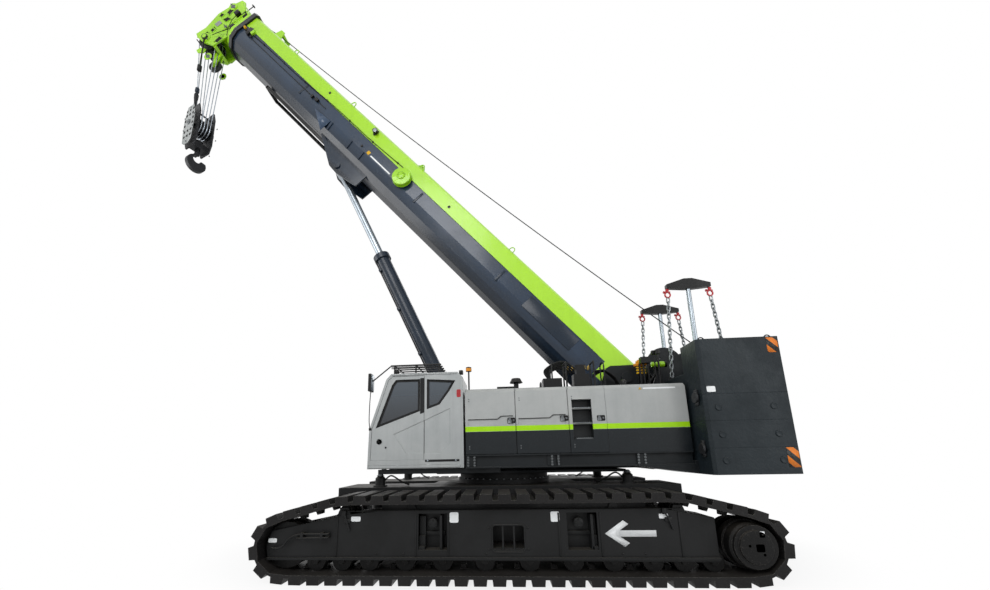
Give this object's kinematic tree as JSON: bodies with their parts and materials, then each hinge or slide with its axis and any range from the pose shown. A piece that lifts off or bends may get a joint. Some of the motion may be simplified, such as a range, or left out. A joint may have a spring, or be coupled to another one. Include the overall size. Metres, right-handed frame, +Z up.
{
  "type": "telescopic boom crawler crane",
  "caption": "Crawler crane with slewing upperworks, luffing telescopic boom, hook block, stacked counterweight, side cab and jack legs.",
  "frame": {"origin": "on the ground under the slewing axis", "axes": "+X forward along the tracks, +Y to the left, +Z up"},
  "size_m": [13.056, 5.23, 14.6735],
  "materials": {
    "black_paint": "satin",
    "track_steel": "cast",
    "grey_paint": "satin",
    "green_paint": "gloss",
    "boom_paint": "satin",
    "ballast_paint": "matte",
    "hard_chrome": "polished",
    "hook_steel": "forged",
    "tinted_glass": "tinted",
    "cloth": "woven",
    "sheave_nylon": "moulded",
    "engine_paint": "matte"
  },
  "bodies": {
    "undercarriage": {"carbody": "black_paint", "final_drives": "black_paint", "idler_wheels": "black_paint", "jack_cylinders": "black_paint", "rollers_left": "black_paint", "rollers_right": "black_paint", "side_frame_left": "black_paint", "side_frame_right": "black_paint", "slew_bearing": "black_paint", "track_left": "track_steel", "track_right": "track_steel"},
    "superstructure": {"cab_door": "grey_paint", "cab_fittings": "black_paint", "cab_glass": "tinted_glass", "cab_seat": "cloth", "cab_shell": "grey_paint", "counterweight_1": "ballast_paint", "counterweight_2": "ballast_paint", "counterweight_3": "ballast_paint", "counterweight_4": "ballast_paint", "deck_fittings": "black_paint", "engine": "engine_paint", "housing_left": "grey_paint", "housing_right": "grey_paint", "lift_columns": "black_paint", "turntable": "black_paint", "winch_frame": "black_paint"},
    "jack_leg_front_left": {"jack_leg_front_left": "black_paint"},
    "jack_leg_front_right": {"jack_leg_front_right": "black_paint"},
    "jack_leg_rear_left": {"jack_leg_rear_left": "black_paint"},
    "jack_leg_rear_right": {"jack_leg_rear_right": "black_paint"},
    "boom_base": {"boom_base": "boom_paint", "boom_fittings": "black_paint"},
    "boom_section_1": {"boom_section_1": "boom_paint"},
    "boom_section_2": {"boom_section_2": "boom_paint"},
    "boom_section_3": {"boom_section_3": "boom_paint"},
    "boom_section_4": {"boom_section_4": "boom_paint", "head_sheaves": "sheave_nylon", "boom_head": "green_paint"},
    "luff_rod": {"luff_rod": "hard_chrome"},
    "luff_barrel": {"luff_barrel": "black_paint"},
    "limit_weight": {"limit_weight": "black_paint"},
    "hook_block": {"hook_block": "hook_steel"},
    "hook": {"hook": "hook_steel"},
    "winch_drum_main": {"winch_drum_main": "black_paint"},
    "winch_drum_aux": {"winch_drum_aux": "black_paint"},
    "door_left_1": {"door_left_1": "grey_paint"},
    "door_right_1": {"door_right_1": "grey_paint"},
    "door_left_2": {"door_left_2": "grey_paint"},
    "door_right_2": {"door_right_2": "grey_paint"},
    "door_left_3": {"door_left_3": "grey_paint"},
    "door_right_3": {"door_right_3": "grey_paint"}
  },
  "joints": [
    {"name": "slew", "type": "hinge", "parent": "undercarriage", "child": "superstructure", "pos_m": [0, 0, 1.36], "axis": [0, 0, 1], "continuous": true},
    {"name": "boom_luff", "type": "hinge", "parent": "superstructure", "child": "boom_base", "pos_m": [-2.55, 0, 3.24], "axis": [0, -1, 0], "range_deg": [-48.4, 31.6]},
    {"name": "jack_front_left_extend", "type": "slide", "parent": "undercarriage", "child": "jack_leg_front_left", "axis": [0, 0, -1], "range_m": [0, 0.7]},
    {"name": "jack_front_right_extend", "type": "slide", "parent": "undercarriage", "child": "jack_leg_front_right", "axis": [0, 0, -1], "range_m": [0, 0.7]},
    {"name": "jack_rear_left_extend", "type": "slide", "parent": "undercarriage", "child": "jack_leg_rear_left", "axis": [0, 0, -1], "range_m": [0, 0.7]},
    {"name": "jack_rear_right_extend", "type": "slide", "parent": "undercarriage", "child": "jack_leg_rear_right", "axis": [0, 0, -1], "range_m": [0, 0.7]},
    {"name": "telescope_1", "type": "slide", "parent": "boom_base", "child": "boom_section_1", "axis": [0.6639, 0, 0.7478], "range_m": [0, 10.2]},
    {"name": "telescope_2", "type": "slide", "parent": "boom_section_1", "child": "boom_section_2", "axis": [0.6639, 0, 0.7478], "range_m": [0, 10.2]},
    {"name": "telescope_3", "type": "slide", "parent": "boom_section_2", "child": "boom_section_3", "axis": [0.6639, 0, 0.7478], "range_m": [0, 10.2]},
    {"name": "telescope_4", "type": "slide", "parent": "boom_section_3", "child": "boom_section_4", "axis": [0.6639, 0, 0.7478], "range_m": [0, 10.2]},
    {"name": "luff_rod_pin", "type": "hinge", "parent": "boom_base", "child": "luff_rod", "pos_m": [3.89091, 0, 8.94169], "axis": [0, -1, 0], "range_deg": [-20, 20]},
    {"name": "luff_cylinder_stroke", "type": "slide", "parent": "luff_rod", "child": "luff_barrel", "axis": [-0.4204, 0, -0.9073], "range_m": [-2.305, 1.879]},
    {"name": "hanging_gear", "type": "hinge", "parent": "boom_section_4", "child": "limit_weight", "pos_m": [7.96422, 0, 13.45577], "axis": [0, -1, 0], "range_deg": [-60, 60]},
    {"name": "hoist", "type": "slide", "parent": "limit_weight", "child": "hook_block", "axis": [0, 0, 1], "range_m": [-9.3, 0.9]},
    {"name": "hook_swivel", "type": "hinge", "parent": "hook_block", "child": "hook", "pos_m": [7.96422, 0, 9.94977], "axis": [0, 0, 1], "continuous": true},
    {"name": "winch_drum_main_turn", "type": "hinge", "parent": "superstructure", "child": "winch_drum_main", "pos_m": [-4.13, 0, 3.55], "axis": [0, 1, 0], "continuous": true},
    {"name": "winch_drum_aux_turn", "type": "hinge", "parent": "superstructure", "child": "winch_drum_aux", "pos_m": [-3.37, 0, 3.5], "axis": [0, 1, 0], "continuous": true},
    {"name": "door_left_1_hinge", "type": "hinge", "parent": "superstructure", "child": "door_left_1", "pos_m": [0.638, 1.46, 2.3], "axis": [0, 0, -1], "range_deg": [0, 90]},
    {"name": "door_right_1_hinge", "type": "hinge", "parent": "superstructure", "child": "door_right_1", "pos_m": [0.638, -1.46, 2.3], "axis": [0, 0, 1], "range_deg": [0, 90]},
    {"name": "door_left_2_hinge", "type": "hinge", "parent": "superstructure", "child": "door_left_2", "pos_m": [-0.261, 1.46, 2.3], "axis": [0, 0, -1], "range_deg": [0, 90]},
    {"name": "door_right_2_hinge", "type": "hinge", "parent": "superstructure", "child": "door_right_2", "pos_m": [-0.261, -1.46, 2.3], "axis": [0, 0, 1], "range_deg": [0, 90]},
    {"name": "door_left_3_hinge", "type": "hinge", "parent": "superstructure", "child": "door_left_3", "pos_m": [-1.182, 1.46, 2.3], "axis": [0, 0, -1], "range_deg": [0, 90]},
    {"name": "door_right_3_hinge", "type": "hinge", "parent": "superstructure", "child": "door_right_3", "pos_m": [-1.182, -1.46, 2.3], "axis": [0, 0, 1], "range_deg": [0, 90]}
  ],
  "couplings": [
    {"joint": "luff_rod_pin", "follows": "boom_luff", "ratio": 0.29},
    {"joint": "luff_cylinder_stroke", "follows": "boom_luff", "m_per_rad": 2.7051},
    {"joint": "hanging_gear", "follows": "boom_luff", "ratio": -1}
  ]
}
